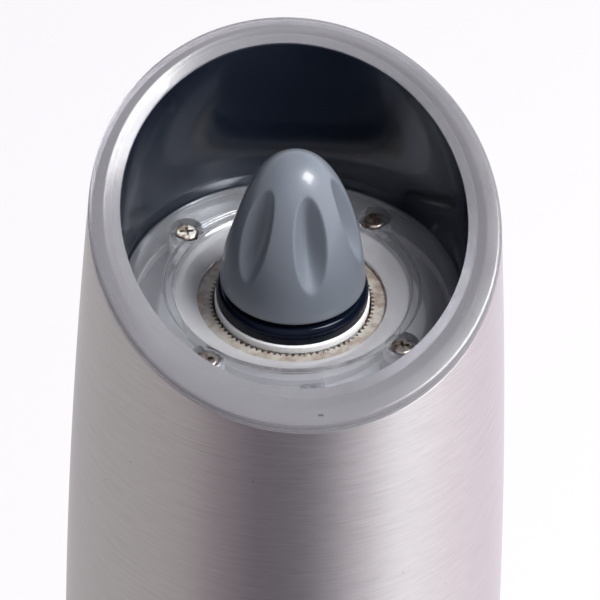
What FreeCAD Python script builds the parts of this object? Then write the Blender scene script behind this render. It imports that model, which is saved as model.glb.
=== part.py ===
import FreeCAD, Part
import os
from math import acos, atan2, cos, degrees, pi, radians, sin, tan

from FreeCAD import Vector

# Gravity-switched pepper mill that grinds through a slanted mouth at its top.
# Millimetres, +Z up, origin at the centre of the underside of the foot.
# The low side of the mouth faces -Y and its high side faces +Y.

# ---------------------------------------------------------------- driving dimensions
BODY_R = 33.0            # widest radius of the steel body
TAPER_START_Z = 77.0     # above this height the body draws in along a large arc
TAPER_ARC_R = 1346.0     # radius of that arc
STEEL = 0.6              # thickness of the steel sleeves
BAND_BOTTOM_Z = 81.6     # the clear band between the two sleeves
BAND_TOP_Z = 104.0
DISC_TOP_Z = 182.5       # outer face of the clear disc in the mouth
MOUTH_SLANT = 24.6       # degrees between the mouth's lip and the horizontal
LIP_AXIS_Z = DISC_TOP_Z + 13.95  # height of the lip's inner face at the centre line
MOUTH_R = 23.4           # inside radius of the mouth

CELL_R = 5.25            # AAA cell
CELL_L = 44.5
CELL_NUB = 1.0
CELL_COUNT = 6
CELL_CIRCLE_R = 20.6

MOTOR_R = 12.2
MOTOR_BOTTOM_Z = 14.0
MOTOR_TOP_Z = 44.8
SHAFT_R = 1.0

GEAR_MODULE = 0.5
PRESSURE_ANGLE = radians(20.0)
SUN_TEETH = 10
PLANET_TEETH = 14
RING_TEETH = SUN_TEETH + 2 * PLANET_TEETH
PLANETS = 3
PLANET_CENTRE_R = GEAR_MODULE * (SUN_TEETH + PLANET_TEETH) / 2
ADDENDUM = 0.75 * GEAR_MODULE
DEDENDUM = 1.25 * GEAR_MODULE
BACKLASH = 0.04          # taken off each flank

RUNNING_GAP = 0.06       # radial clearance of a shaft in its bush
KNOB_R = 9.95
KNOB_BASE_Z = DISC_TOP_Z + 1.3
KNOB_HEIGHT = 21.0
FLUTES = 6
FLUTE_PHASE = 39.25      # degrees from +X to the first flute
SCREW_CIRCLE_R = 18.7    # the four screws of the mouth disc
SCREW_ANGLES = (45.0, 135.0, 225.0, 315.0)

UP = Vector(0, 0, 1)


# ---------------------------------------------------------------- helpers
def polar(radius, angle, z=0.0):
    turn = radians(angle)
    return Vector(radius * cos(turn), radius * sin(turn), z)


def polars(radius, angles):
    return [polar(radius, angle) for angle in angles]


def rod(radius, z0, z1, at=Vector(0, 0, 0)):
    return Part.makeCylinder(radius, z1 - z0, Vector(at.x, at.y, z0), UP)


def pipe(outer, inner, z0, z1, at=Vector(0, 0, 0)):
    return rod(outer, z0, z1, at).cut(rod(inner, z0 - 1, z1 + 1, at))


def block(size_x, size_y, z0, z1, at=Vector(0, 0, 0), turn=0.0):
    box = Part.makeBox(size_x, size_y, z1 - z0, Vector(-size_x / 2, -size_y / 2, z0))
    box.rotate(Vector(0, 0, 0), UP, turn)
    box.translate(Vector(at.x, at.y, 0))
    return box


def turned(points):
    """Solid of revolution about Z from a closed outline of (radius, height) points."""
    outline = Part.makePolygon([Vector(r, 0, z) for r, z in points + points[:1]])
    return Part.Face(outline).revolve(Vector(0, 0, 0), UP, 360)


def flat(corners):
    return Part.Face(Part.makePolygon(corners + corners[:1]))


def prism(outline, z0, z1):
    """Straight prism from a closed outline of (x, y) points."""
    wire = Part.makePolygon([Vector(x, y, z0) for x, y in outline + outline[:1]])
    return Part.Face(wire).extrude(Vector(0, 0, z1 - z0))


def join(first, *others):
    return first.fuse(list(others)).removeSplitter()


def ring_of(shape, count, start=0.0):
    """Copies of a shape, evenly spaced about the centre line."""
    copies = []
    for index in range(count):
        copy = shape.copy()
        copy.rotate(Vector(0, 0, 0), UP, start + 360.0 * index / count)
        copies.append(copy)
    return copies


def moved(shape, offset):
    copy = shape.copy()
    copy.translate(offset)
    return copy


def rounded(shape, radius, wanted):
    """Fillet the edges for which wanted(edge) is true."""
    edges = [edge for edge in shape.Edges if wanted(edge)]
    return shape.makeFillet(radius, edges)


def flat_circle(radius, z):
    """Test for a circular edge of one radius at one height."""
    def wanted(edge):
        box = edge.BoundBox
        level = abs(box.ZMin - z) < 1e-3 and abs(box.ZMax - z) < 1e-3
        return level and abs(box.XMax - radius) < 1e-3
    return wanted


def save(node, shape):
    shape.exportStep("parts/" + node + ".step")


def body_radius(z):
    rise = max(0.0, z - TAPER_START_Z)
    return BODY_R - rise * rise / (2 * TAPER_ARC_R)


def body_core(inset, z0, z1):
    """Solid that fills the body's outline, a constant distance inside it."""
    middle = (z0 + z1) / 2

    def at(z):
        return Vector(body_radius(z) - inset, 0, z)

    side = Part.Arc(at(z0), at(middle), at(z1)).toShape()
    top = Part.makeLine(at(z1), Vector(0, 0, z1))
    axis = Part.makeLine(Vector(0, 0, z1), Vector(0, 0, z0))
    bottom = Part.makeLine(Vector(0, 0, z0), at(z0))
    return Part.Face(Part.Wire([side, top, axis, bottom])).revolve(Vector(0, 0, 0), UP, 360)


def below_slant(axis_z):
    """Everything under the slanted plane that crosses the centre line at axis_z."""
    reach = 120.0
    half = Part.makeBox(2 * reach, 2 * reach, reach, Vector(-reach, -reach, -reach))
    half.rotate(Vector(0, 0, 0), Vector(1, 0, 0), MOUTH_SLANT)
    half.translate(Vector(0, 0, axis_z))
    return half


# ---------------------------------------------------------------- gears
def involute_outline(teeth, tip_r, root_r, slack, phase):
    """Straight-sided outline of a spur gear, with a tooth centred on phase."""
    pitch_r = GEAR_MODULE * teeth / 2
    base_r = pitch_r * cos(PRESSURE_ANGLE)
    half_pitch_tooth = pi / (2 * teeth) - slack / pitch_r
    involute_at_pitch = tan(PRESSURE_ANGLE) - PRESSURE_ANGLE

    def half_angle(radius):
        roll = acos(min(1.0, base_r / radius))
        return half_pitch_tooth + involute_at_pitch - (tan(roll) - roll)

    flank = [root_r, max(base_r, root_r + 0.02), pitch_r, (pitch_r + tip_r) / 2, tip_r]
    outline = []
    for tooth in range(teeth):
        centre = phase + 2 * pi * tooth / teeth
        for radius in flank:
            angle = centre - half_angle(radius)
            outline.append((radius * cos(angle), radius * sin(angle)))
        for radius in reversed(flank):
            angle = centre + half_angle(radius)
            outline.append((radius * cos(angle), radius * sin(angle)))
    return outline


def spur_gear(teeth, z0, z1, phase=0.0):
    pitch_r = GEAR_MODULE * teeth / 2
    outline = involute_outline(teeth, pitch_r + ADDENDUM, pitch_r - DEDENDUM, BACKLASH, phase)
    return prism(outline, z0, z1)


def ring_gear_hollow(z0, z1):
    """The space inside the internal gear: a gear whose teeth are the ring's gaps."""
    pitch_r = GEAR_MODULE * RING_TEETH / 2
    half_tooth = pi / RING_TEETH
    outline = involute_outline(RING_TEETH, pitch_r + DEDENDUM, pitch_r - ADDENDUM, -BACKLASH, half_tooth)
    return prism(outline, z0, z1)


def planet_gear(index, z0, z1, bore_r):
    """A planet in mesh with a sun that has a tooth on +X."""
    place = 2 * pi * index / PLANETS
    phase = place * (1 + SUN_TEETH / PLANET_TEETH) + pi - pi / PLANET_TEETH
    gear = spur_gear(PLANET_TEETH, z0, z1, phase).cut(rod(bore_r, z0 - 1, z1 + 1))
    return moved(gear, polar(PLANET_CENTRE_R, degrees(place)))


# ---------------------------------------------------------------- base
SLEEVE_FOOT_Z = 1.6
BASE_TOP_Z = 79.5
LINER_R = 32.3
LINER_BORE_R = 30.9


def make_foot_ring():
    ring = pipe(30.6, 22.0, 0.0, 2.2)
    return rounded(ring, 0.6, flat_circle(30.6, 0.0))


def make_base_sleeve():
    inner = BODY_R - STEEL
    wall = pipe(BODY_R, inner, SLEEVE_FOOT_Z, BASE_TOP_Z)
    turned_in = pipe(inner, 31.0, SLEEVE_FOOT_Z, SLEEVE_FOOT_Z + STEEL)
    sleeve = join(wall, turned_in)
    sleeve = rounded(sleeve, 0.55, flat_circle(BODY_R, SLEEVE_FOOT_Z))
    return rounded(sleeve, 0.2, flat_circle(BODY_R, BASE_TOP_Z))


def make_base_liner():
    floor_z = SLEEVE_FOOT_Z + STEEL
    cup = rod(LINER_R, floor_z, BASE_TOP_Z).cut(rod(LINER_BORE_R, floor_z + 2.0, BASE_TOP_Z + 1))
    key_slot = block(2 * LINER_BORE_R + 1.8, 3.4, 60.0, BASE_TOP_Z + 1)
    return cup.cut(key_slot)


# ---------------------------------------------------------------- power unit
FRAME_R = 30.4
FRAME_Z = (6.0, 66.0)
BAY_Z = (9.0, 57.2)
MOTOR_BAY_R = 12.6
CONTACT = 0.3
LEAD_ANGLES = (90.0, 330.0)
LEAD_CIRCLE_R = 13.4
GEARBOX_SCREW_ANGLES = (30.0, 150.0, 270.0)
GEARBOX_SCREW_R = 15.2
COLLAR_SCREW_ANGLES = (0.0, 120.0, 240.0)
COLLAR_SCREW_R = 24.5
POST_ANGLES = (60.0, 180.0, 300.0)
POST_CIRCLE_R = 19.0
BOARD_Z = (72.0, 73.2)
HOPPER_SCREW_ANGLES = (30.0, 150.0, 270.0)
HOPPER_SCREW_R = 24.0
COLLAR_TOP_Z = BAND_BOTTOM_Z


def cell_place(index):
    return polar(CELL_CIRCLE_R, 360.0 * index / CELL_COUNT)


def contact_links(z, first, thickness=CONTACT, margin=0.0):
    """Strips at one end of the cells, each joining a cell to its neighbour."""
    strips = []
    for index in range(first, first + CELL_COUNT, 2):
        here = cell_place(index)
        there = cell_place(index + 1)
        along = there - here
        turn = degrees(atan2(along.y, along.x))
        bar = block(along.Length, 4.0 + 2 * margin, z, z + thickness, (here + there) * 0.5, turn)
        pad_a = rod(4.2 + margin, z, z + thickness, here)
        pad_b = rod(4.2 + margin, z, z + thickness, there)
        strips.append(join(bar, pad_a, pad_b))
    return strips


def make_battery_frame():
    frame = rod(FRAME_R, *FRAME_Z)
    cuts = [rod(MOTOR_BAY_R, 5.0, 67.0)]
    bay = rod(CELL_R + 0.3, *BAY_Z, cell_place(0))
    mouth = block(20.0, 2 * (CELL_R + 0.3), *BAY_Z, polar(CELL_CIRCLE_R + 10.0, 0.0))
    cuts += ring_of(bay.fuse(mouth), CELL_COUNT)
    cuts += contact_links(BAY_Z[0], 0, CONTACT + 0.1, 0.2)
    cuts += contact_links(BAY_Z[1] - CONTACT - 0.1, 1, CONTACT + 0.1, 0.2)
    cuts += [rod(0.85, 5.0, 67.0, polar(LEAD_CIRCLE_R, angle)) for angle in LEAD_ANGLES]
    cuts += [rod(0.95, 58.0, 67.0, polar(GEARBOX_SCREW_R, angle)) for angle in GEARBOX_SCREW_ANGLES]
    cuts += [rod(0.95, 58.0, 67.0, polar(COLLAR_SCREW_R, angle)) for angle in COLLAR_SCREW_ANGLES]
    return frame.cut(cuts)


def make_cells():
    """AAA cells, nub up and nub down in turn."""
    can_l = CELL_L - CELL_NUB
    spring_z = 3.0
    bottom = BAY_Z[0] + CONTACT + spring_z
    cell = join(rod(CELL_R, bottom, bottom + can_l), rod(1.9, bottom + can_l, bottom + CELL_L))
    cell = rounded(cell, 0.4, flat_circle(CELL_R, bottom + can_l))
    cells = []
    middle_z = (BAY_Z[0] + BAY_Z[1]) / 2
    for index in range(CELL_COUNT):
        one = cell.copy()
        if index % 2:
            one.rotate(Vector(0, 0, middle_z), Vector(1, 0, 0), 180)
        cells.append(moved(one, cell_place(index)))
    return Part.makeCompound(cells)


def coil_spring(radius, wire_r, turns, z0, z1):
    """Coil whose outside reaches from z0 to z1, with a six-sided wire in short straight runs."""
    per_turn = 18
    sides = 6
    steps = int(turns * per_turn)
    rise = z1 - z0 - 2 * wire_r
    rings = []
    for step in range(steps + 1):
        turn = 2 * pi * step / per_turn
        z = z0 + wire_r + rise * step / steps
        ring = []
        for side in range(sides):
            round_wire = 2 * pi * side / sides + pi / 2
            reach = radius + wire_r * cos(round_wire)
            ring.append(Vector(reach * cos(turn), reach * sin(turn), z + wire_r * sin(round_wire)))
        rings.append(ring)
    faces = [flat(rings[0][::-1]), flat(rings[-1])]
    for here, there in zip(rings, rings[1:]):
        for side in range(sides):
            beside = (side + 1) % sides
            faces.append(flat([here[side], here[beside], there[side]]))
            faces.append(flat([here[beside], there[beside], there[side]]))
    solid = Part.Solid(Part.Shell(faces))
    if solid.Volume < 0:
        solid.reverse()
    return solid


def make_battery_springs():
    """Springs, each at the flat end of a cell."""
    low = BAY_Z[0] + CONTACT + 0.03
    coil = coil_spring(3.0, 0.3, 3.0, low, low + 2.9)
    springs = []
    middle_z = (BAY_Z[0] + BAY_Z[1]) / 2
    for index in range(CELL_COUNT):
        one = coil.copy()
        if index % 2:
            one.rotate(Vector(0, 0, middle_z), Vector(1, 0, 0), 180)
        springs.append(moved(one, cell_place(index)))
    return Part.makeCompound(springs)


def make_contact_plates():
    lower = contact_links(BAY_Z[0], 0)
    upper = contact_links(BAY_Z[1] - CONTACT, 1)
    return Part.makeCompound(lower + upper)


def make_motor_can():
    can = rod(MOTOR_R, MOTOR_BOTTOM_Z, MOTOR_TOP_Z)
    can = rounded(can, 1.0, flat_circle(MOTOR_R, MOTOR_TOP_Z))
    boss = rod(3.0, MOTOR_TOP_Z, MOTOR_TOP_Z + 1.2)
    hollow = rod(MOTOR_R - 0.8, MOTOR_BOTTOM_Z - 1, MOTOR_TOP_Z - 0.8)
    return join(can, boss).cut([hollow, rod(1.9, 40.0, 50.0)])


def make_motor_end_cap():
    plug = rod(MOTOR_R - 0.9, MOTOR_BOTTOM_Z, MOTOR_BOTTOM_Z + 2.0)
    tail = rod(5.0, MOTOR_BOTTOM_Z - 2.5, MOTOR_BOTTOM_Z)
    cap = join(plug, tail).cut(rod(1.9, MOTOR_BOTTOM_Z - 1.5, 20.0))
    tabs = [block(1.0, 2.2, MOTOR_BOTTOM_Z - 3.0, MOTOR_BOTTOM_Z + 1.0, polar(8.5, angle), angle)
            for angle in LEAD_ANGLES]
    return cap.cut(tabs)


def make_motor_terminals():
    return Part.makeCompound([
        block(0.5, 2.0, MOTOR_BOTTOM_Z - 3.0, MOTOR_BOTTOM_Z + 1.0, polar(8.5, angle), angle)
        for angle in LEAD_ANGLES])


def make_motor_magnets():
    shell = pipe(MOTOR_R - 0.85, 9.4, 18.0, 40.0)
    gaps = block(7.0, 30.0, 17.0, 41.0)
    return shell.cut(gaps)


def make_motor_bushes():
    lower = pipe(1.85, SHAFT_R + RUNNING_GAP, MOTOR_BOTTOM_Z - 1.4, MOTOR_BOTTOM_Z + 1.9)
    upper = pipe(1.85, SHAFT_R + RUNNING_GAP, MOTOR_TOP_Z - 1.2, MOTOR_TOP_Z + 1.2)
    return Part.makeCompound([lower, upper])


def make_ring_gear():
    return rod(12.0, MOTOR_TOP_Z, 61.6).cut(ring_gear_hollow(MOTOR_TOP_Z - 1, 62.6))


def make_gearbox_cover():
    spigot = rod(11.9, 61.6, FRAME_Z[1])
    flange = rod(17.0, FRAME_Z[1], 68.0)
    cuts = [rod(4.55, 61.0, 69.0)]
    cuts += [rod(0.95, 65.0, 69.0, polar(GEARBOX_SCREW_R, angle)) for angle in GEARBOX_SCREW_ANGLES]
    cuts += [rod(0.85, 60.0, 69.0, polar(LEAD_CIRCLE_R, angle)) for angle in LEAD_ANGLES]
    return join(spigot, flange).cut(cuts)


def make_output_bush():
    return pipe(4.5, 3.0 + RUNNING_GAP, 61.8, 68.2)


def pan_screw(head_r, shank_r, head_h, z_seat, z_tip, at):
    """Cross-recess screw with its head above z_seat."""
    head = rod(head_r, z_seat, z_seat + head_h, at)
    head = head.makeFillet(head_h * 0.45, [edge for edge in head.Edges
                                            if abs(edge.BoundBox.ZMin - z_seat - head_h) < 1e-3])
    slot_l = head_r * 1.15
    slot_w = head_r * 0.28
    deep = z_seat + head_h * 0.35
    cross = block(slot_l, slot_w, deep, z_seat + head_h + 1, at)
    cross = cross.fuse(block(slot_w, slot_l, deep, z_seat + head_h + 1, at))
    return head.fuse(rod(shank_r, z_tip, z_seat, at)).cut(cross)


def screw_group(places, head_r, shank_r, head_h, z_seat, z_tip):
    return Part.makeCompound([
        pan_screw(head_r, shank_r, head_h, z_seat, z_tip, at) for at in places])


def make_frame_screws():
    """Screws that hold the gearbox cover and the collar down on the battery frame."""
    places = polars(GEARBOX_SCREW_R, GEARBOX_SCREW_ANGLES)
    places += polars(COLLAR_SCREW_R, COLLAR_SCREW_ANGLES)
    return screw_group(places, 1.7, 0.9, 1.2, 68.0, 60.0)


def make_motor_leads():
    return Part.makeCompound([
        rod(0.6, MOTOR_BOTTOM_Z - 1.0, BOARD_Z[0], polar(LEAD_CIRCLE_R, angle))
        for angle in LEAD_ANGLES])


def make_control_board():
    board = pipe(20.5, 7.5, *BOARD_Z)
    chip = block(4.0, 5.0, BOARD_Z[1], BOARD_Z[1] + 1.2, polar(14.0, 0.0))
    capacitor = rod(2.2, BOARD_Z[1], BOARD_Z[1] + 4.5, polar(14.0, 60.0))
    relay = block(4.5, 3.5, BOARD_Z[1], BOARD_Z[1] + 2.0, polar(14.0, 270.0))
    return Part.makeCompound([board, chip, capacitor, relay])


BALL_R = 1.5
SWITCH_BORE_R = 1.8
SWITCH_AT = polar(14.0, 150.0)
SWITCH_TOP_Z = 79.2


def make_tilt_switch():
    can = rod(2.3, BOARD_Z[1], SWITCH_TOP_Z, SWITCH_AT)
    return can.cut(rod(SWITCH_BORE_R, BOARD_Z[1] + 0.4, SWITCH_TOP_Z - 0.4, SWITCH_AT))


def make_tilt_ball():
    centre = Vector(SWITCH_AT.x, SWITCH_AT.y, BOARD_Z[1] + 0.45 + BALL_R)
    return Part.makeSphere(BALL_R, centre)


def make_core_collar():
    """Ring that ties the battery frame to the hopper and rests on the base's rim."""
    skirt = pipe(FRAME_R, 28.9, FRAME_Z[1], 79.6)
    deck = rod(32.6, 79.6, COLLAR_TOP_Z)
    lower_flange = pipe(29.0, 17.3, FRAME_Z[1], 68.0)
    posts = [rod(1.4, 68.0, BOARD_Z[0], polar(POST_CIRCLE_R, angle)) for angle in POST_ANGLES]
    bosses = [rod(2.8, 73.6, 79.6, polar(HOPPER_SCREW_R, angle)) for angle in HOPPER_SCREW_ANGLES]
    key = block(2 * (FRAME_R + 0.9), 2.6, FRAME_Z[1], 78.0)
    keys = key.cut(rod(29.0, 60.0, 80.0))
    collar = join(skirt, deck, lower_flange, keys, *posts, *bosses)
    cuts = [rod(6.0, 79.0, 83.0)]
    cuts += [rod(1.1, 73.0, 83.0, polar(HOPPER_SCREW_R, angle)) for angle in HOPPER_SCREW_ANGLES]
    cuts += [rod(0.95, 65.0, 69.0, polar(COLLAR_SCREW_R, angle)) for angle in COLLAR_SCREW_ANGLES]
    return collar.cut(cuts)


# ---------------------------------------------------------------- hopper
HOPPER_R = 32.5
HOPPER_BORE_R = 30.3
NECK_R = 27.0
NECK_BORE_R = 25.2
NECK_TOP_Z = 142.0
SEAL_Z = 128.0
COUPLING_R = 5.0
CONTACT_ANGLES = (84.0, 96.0)
CONTACT_CIRCLE_R = 26.1


def make_hopper():
    wall = turned([
        (0.0, BAND_BOTTOM_Z), (HOPPER_R, BAND_BOTTOM_Z), (HOPPER_R, BAND_TOP_Z),
        (NECK_R, BAND_TOP_Z), (NECK_R, NECK_TOP_Z), (NECK_BORE_R, NECK_TOP_Z),
        (NECK_BORE_R, BAND_TOP_Z - 2.0), (HOPPER_BORE_R, BAND_TOP_Z - 5.0),
        (HOPPER_BORE_R, BAND_BOTTOM_Z + 2.0), (0.0, BAND_BOTTOM_Z + 2.0)])
    wall = rounded(wall, 0.3, flat_circle(HOPPER_R, BAND_TOP_Z))
    cuts = [rod(5.6, 80.0, 85.0), pipe(30.0, NECK_R - 0.45, SEAL_Z - 0.7, SEAL_Z + 0.7)]
    cuts += [rod(1.3, 80.0, 85.0, polar(HOPPER_SCREW_R, angle)) for angle in HOPPER_SCREW_ANGLES]
    cuts += [rod(0.65, 138.0, 143.0, polar(CONTACT_CIRCLE_R, angle)) for angle in CONTACT_ANGLES]
    return wall.cut(cuts)


def make_hopper_seals():
    """Lip seal round the turning shaft, and the O-ring in the neck's groove."""
    floor_z = BAND_BOTTOM_Z + 2.0
    bore_r = COUPLING_R + RUNNING_GAP
    shaft_seal = turned([(bore_r, floor_z), (8.0, floor_z), (8.0, floor_z + 1.0),
                         (COUPLING_R + 0.8, floor_z + 2.6), (bore_r, floor_z + 2.6)])
    neck_seal = Part.makeTorus(NECK_R + 0.12, 0.55, Vector(0, 0, SEAL_Z), UP)
    return Part.makeCompound([shaft_seal, neck_seal])


def make_hopper_screws():
    return screw_group(polars(HOPPER_SCREW_R, HOPPER_SCREW_ANGLES), 2.2, 1.0, 1.3,
                       BAND_BOTTOM_Z + 2.0, 75.0)


def make_core_contacts():
    return Part.makeCompound([
        rod(0.6, 138.0, NECK_TOP_Z + 0.4, polar(CONTACT_CIRCLE_R, angle))
        for angle in CONTACT_ANGLES])


# ---------------------------------------------------------------- motor and gear train
STAGE_1_Z = (46.8, 51.4)
STAGE_2_Z = (53.6, 58.2)
PIN_R = 0.9
CARRIER_R = 8.6


def make_motor_armature():
    stack = rod(8.7, 22.0, 37.0)
    slots = ring_of(block(6.0, 1.6, 21.0, 38.0, polar(7.0, 0.0)), 3)
    winding = rod(7.4, 19.5, 39.5).cut(ring_of(block(6.0, 2.6, 19.0, 40.0, polar(6.0, 0.0)), 3))
    commutator = rod(2.6, 16.2, 19.5)
    bore = rod(SHAFT_R + 0.02, 10.0, 50.0)
    return join(stack.cut(slots), winding, commutator).cut(bore)


def make_motor_shaft():
    return rod(SHAFT_R, MOTOR_BOTTOM_Z - 1.3, STAGE_1_Z[1])


def make_sun_gear():
    return spur_gear(SUN_TEETH, *STAGE_1_Z).cut(rod(SHAFT_R + 0.02, 40.0, 60.0))


def make_carrier(stage_z, top_z):
    """Disc above a set of planets, with the pins that they turn on."""
    pins = [rod(PIN_R, stage_z[0] + 0.1, stage_z[1] + 0.4, polar(PLANET_CENTRE_R, 360.0 * i / PLANETS))
            for i in range(PLANETS)]
    return join(rod(CARRIER_R, stage_z[1] + 0.4, top_z), *pins)


def make_stage1_carrier():
    top_z = 53.2
    second_sun = spur_gear(SUN_TEETH, top_z, STAGE_2_Z[1])
    return join(make_carrier(STAGE_1_Z, top_z), second_sun)


SHAFT_TOP_Z = 158.0
DRIVE_HALF = 2.5


def make_stage2_carrier():
    top_z = 60.4
    shaft = rod(3.0, top_z, 70.4)
    tongue = block(3.8, 3.8, 70.4, 76.0)
    return join(make_carrier(STAGE_2_Z, top_z), shaft, tongue)


def make_shaft_coupling():
    barrel = rod(COUPLING_R, 70.5, 92.0)
    lower = block(4.0, 4.0, 70.0, 76.4)
    upper = block(2 * DRIVE_HALF + 0.1, 2 * DRIVE_HALF + 0.1, 78.0, 93.0)
    return barrel.cut([lower, upper])


def make_drive_shaft():
    shaft = block(2 * DRIVE_HALF, 2 * DRIVE_HALF, 78.1, SHAFT_TOP_Z)
    return shaft.makeChamfer(0.8, [edge for edge in shaft.Edges
                                   if abs(edge.BoundBox.ZMin - SHAFT_TOP_Z) < 1e-3])


def make_feed_paddle():
    """Hub on the drive shaft with two sloping blades that stir the peppercorns."""
    hub = rod(5.2, 120.0, 132.0)
    blade = Part.makeBox(17.0, 1.6, 7.0, Vector(4.0, -0.8, -3.5))
    blade.rotate(Vector(0, 0, 0), Vector(1, 0, 0), 35)
    blade.translate(Vector(0, 0, 126.0))
    hole = block(2 * DRIVE_HALF + 0.1, 2 * DRIVE_HALF + 0.1, 119.0, 133.0)
    return join(hub, *ring_of(blade, 2)).cut(hole)


# ---------------------------------------------------------------- head
HEAD_BOTTOM_Z = 104.2
SKIRT_BORE_R = 28.3
SHELF_Z = (143.0, 145.0)
HOUSING_TOP_Z = 177.2
HOUSING_R = 25.5
STATOR_Z = (168.0, 179.6)
STATOR_R = 14.4
STATOR_TEETH = 84
STATOR_TIP_R = 10.9      # points of the stator's fine teeth, just clear of the rotor
STATOR_ROOT_R = 11.45
THROAT_R = 12.3          # mouth of the stator's bore, at its lower end
THROAT_TOP_Z = 173.5     # the fine teeth start here
LED_BOARD_Z = (175.2, 176.3)
LED_ANGLE = 272.0
HOUSING_SCREW_ANGLES = (30.0, 150.0, 270.0)
HOUSING_SCREW_R = 27.0
LIP_DROP = 0.15          # the lip's outer band lies this much below its inner band
LIP_EDGE = 1.1           # depth of the lip ring's outer side
OUTER_BAND = 2.0         # width of the lip's outer band
WALL_DROP = 1.0          # the dark wall ends this much below the lip's inner band
SKIRT_DROP = 8.0         # and the lip's skirt this much
WALL_R = 24.7
DISC_R = 23.15
RIM_CLEAR_Z = 230.0


def make_head_sleeve():
    top = LIP_AXIS_Z - LIP_DROP - LIP_EDGE
    outer = body_core(0.0, HEAD_BOTTOM_Z + 0.4, RIM_CLEAR_Z)
    inner = body_core(STEEL, HEAD_BOTTOM_Z - 1, RIM_CLEAR_Z + 1)
    return outer.cut(inner).common(below_slant(top))


def make_head_liner():
    outer = body_core(STEEL + 0.1, HEAD_BOTTOM_Z + 0.4, 147.6)
    rim = rod(32.5, HEAD_BOTTOM_Z, HEAD_BOTTOM_Z + 0.4)
    cuts = [rod(SKIRT_BORE_R, 100.0, SHELF_Z[0]), rod(25.2, 140.0, 150.0),
            rod(28.6, SHELF_Z[1], 150.0)]
    cuts += [rod(0.95, 140.0, 150.0, polar(HOUSING_SCREW_R, angle)) for angle in HOUSING_SCREW_ANGLES]
    cuts += [rod(0.8, 142.0, 149.0, polar(26.9, angle)) for angle in CONTACT_ANGLES]
    return join(outer, rim).cut(cuts)


def make_burr_housing():
    body = turned([
        (23.4, SHELF_Z[1]), (28.4, SHELF_Z[1]), (28.4, 147.4), (HOUSING_R, 147.4),
        (HOUSING_R, 172.0), (24.6, 172.5), (24.6, HOUSING_TOP_Z), (21.5, HOUSING_TOP_Z),
        (21.5, 175.0), (15.5, 175.0), (15.5, HOUSING_TOP_Z), (STATOR_R + 0.1, HOUSING_TOP_Z),
        (STATOR_R + 0.1, STATOR_Z[0]), (12.6, STATOR_Z[0]), (23.4, 157.0)])
    hub = pipe(5.4, 4.05, 160.0, 166.0)
    arm = block(14.0, 2.4, 160.0, 165.0, polar(11.8, 0.0))
    bosses = [rod(2.5, 173.0, 178.9, polar(SCREW_CIRCLE_R, angle)) for angle in SCREW_ANGLES]
    housing = join(body, hub, *ring_of(arm, 3, 90.0), *bosses)
    cuts = [rod(0.95, 166.0, 180.0, polar(SCREW_CIRCLE_R, angle)) for angle in SCREW_ANGLES]
    cuts += [rod(0.95, 144.0, 149.0, polar(HOUSING_SCREW_R, angle)) for angle in HOUSING_SCREW_ANGLES]
    cuts += [block(6.0, 1.6, 174.6, 180.0, polar(23.5, angle), angle) for angle in CONTACT_ANGLES]
    cuts += [rod(0.8, 144.0, 149.0, polar(26.9, angle)) for angle in CONTACT_ANGLES]
    return housing.cut(cuts)


def make_spindle_bush():
    return pipe(4.0, 3.0 + RUNNING_GAP, 160.0, 166.0)


def toothed_hole(teeth, root_r, tip_r, z0, z1):
    """Prism with pointed teeth: the space inside a ring of inward teeth."""
    outline = []
    for index in range(teeth):
        angle = 2 * pi * index / teeth
        step = pi / teeth
        outline.append((tip_r * cos(angle), tip_r * sin(angle)))
        outline.append((root_r * cos(angle + step), root_r * sin(angle + step)))
    return prism(outline, z0, z1)


def make_outer_burr():
    ring = rod(STATOR_R, *STATOR_Z)
    ring = rounded(ring, 0.4, flat_circle(STATOR_R, STATOR_Z[1]))
    fine = toothed_hole(STATOR_TEETH, STATOR_ROOT_R, STATOR_TIP_R, THROAT_TOP_Z - 0.5, STATOR_Z[1] + 1)
    throat = turned([
        (0.0, STATOR_Z[0] - 1), (THROAT_R, STATOR_Z[0] - 1), (THROAT_R, STATOR_Z[0] + 0.5),
        (STATOR_ROOT_R, THROAT_TOP_Z), (0.0, THROAT_TOP_Z)])
    return ring.cut([fine, throat])


def make_light_disc():
    """Clear disc with a stepped dish round its central hole."""
    top = DISC_TOP_Z
    disc = turned([
        (13.0, 179.75), (13.0, top - 2.3), (15.0, top - 1.5), (16.1, top - 1.2),
        (16.4, top - 0.4), (17.4, top - 0.4), (17.7, top), (22.0, top),
        (DISC_R, top - 0.7), (DISC_R, 179.0), (14.9, 179.0), (14.9, 179.75)])
    cuts = [rod(2.3, top - 1.4, top + 1, polar(SCREW_CIRCLE_R, angle)) for angle in SCREW_ANGLES]
    cuts += [rod(1.2, 178.0, top, polar(SCREW_CIRCLE_R, angle)) for angle in SCREW_ANGLES]
    return disc.cut(cuts)


def make_disc_screws():
    return screw_group(polars(SCREW_CIRCLE_R, SCREW_ANGLES), 1.65, 0.9, 1.0, DISC_TOP_Z - 1.4, 170.0)


def make_housing_screws():
    return screw_group(polars(HOUSING_SCREW_R, HOUSING_SCREW_ANGLES), 1.25, 0.9, 1.0, 147.4, 143.6)


def make_led_board():
    board = pipe(21.3, 15.7, *LED_BOARD_Z)
    holes = [rod(2.8, 170.0, 180.0, polar(SCREW_CIRCLE_R, angle)) for angle in SCREW_ANGLES]
    resistor = block(2.0, 1.2, LED_BOARD_Z[1], LED_BOARD_Z[1] + 0.6, polar(18.5, 285.0), 15.0)
    return Part.makeCompound([board.cut(holes), resistor])


def make_led():
    at = polar(18.6, LED_ANGLE)
    lens = block(3.4, 2.8, LED_BOARD_Z[1], LED_BOARD_Z[1] + 1.9, at, LED_ANGLE - 90.0)
    dome = Part.makeSphere(1.2, Vector(at.x, at.y, LED_BOARD_Z[1] + 1.2))
    return join(lens, dome.common(block(5.0, 5.0, LED_BOARD_Z[1], 180.0, at)))


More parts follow.
